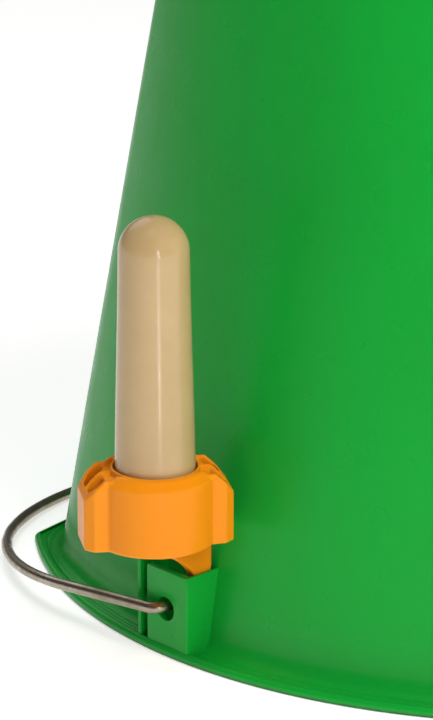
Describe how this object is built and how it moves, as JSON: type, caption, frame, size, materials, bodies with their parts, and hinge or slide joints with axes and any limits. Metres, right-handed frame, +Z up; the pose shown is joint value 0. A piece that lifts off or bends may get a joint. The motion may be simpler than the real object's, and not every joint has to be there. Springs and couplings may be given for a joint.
{
  "type": "calf feeding bucket",
  "caption": "Moulded feeding bucket with a flat back, stood on its rim, with a wire bail and a screw-on rubber teat and ball valve parked on a rim lug.",
  "frame": {"origin": "centre of the rim plane, level with the bail pivots; the bucket stands upside down on its rim", "axes": "+Z up from the rim to the base, X along the bail's pivot line with the parked valve at -X, +Y towards the flat back, -Y towards the outlet"},
  "size_m": [0.3617, 0.3109, 0.24],
  "materials": {
    "green_plastic": "semi-gloss moulded polypropylene",
    "orange_plastic": "semi-gloss moulded plastic",
    "white_plastic": "satin moulded plastic",
    "steel_wire": "drawn and galvanised wire",
    "seal_rubber": "matt black rubber",
    "teat_rubber": "smooth natural latex"
  },
  "bodies": {
    "bucket": {"bucket": "green_plastic"},
    "bail": {"bail_wire": "steel_wire"},
    "valve": {"valve_body": "orange_plastic", "outlet_seal_ring": "seal_rubber", "valve_seat_ring": "seal_rubber", "ball_cage": "white_plastic"},
    "ball": {"valve_ball": "white_plastic"},
    "teat": {"teat": "teat_rubber"},
    "nut": {"teat_nut": "orange_plastic"}
  },
  "joints": [
    {"name": "bail_swing", "type": "hinge", "parent": "bucket", "child": "bail", "pos_m": [0, 0.0004, 0.0178], "axis": [1, 0, 0], "range_deg": [-163, 48]},
    {"name": "valve_lift", "type": "slide", "parent": "bucket", "child": "valve", "axis": [0, 0, 1], "range_m": [0, 0.05]},
    {"name": "ball_lift", "type": "slide", "parent": "valve", "child": "ball", "axis": [0, 0, 1], "range_m": [0, 0.0015]},
    {"name": "teat_lift", "type": "slide", "parent": "valve", "child": "teat", "axis": [0, 0, 1], "range_m": [0, 0.013]},
    {"name": "nut_turn", "type": "hinge", "parent": "teat", "child": "nut", "pos_m": [-0.1708, -0.0074, 0.06], "axis": [0, 0, 1], "range_deg": [0, 1170]}
  ],
  "couplings": [
    {"joint": "teat_lift", "follows": "nut_turn", "m_per_rad": 0.00063662}
  ]
}
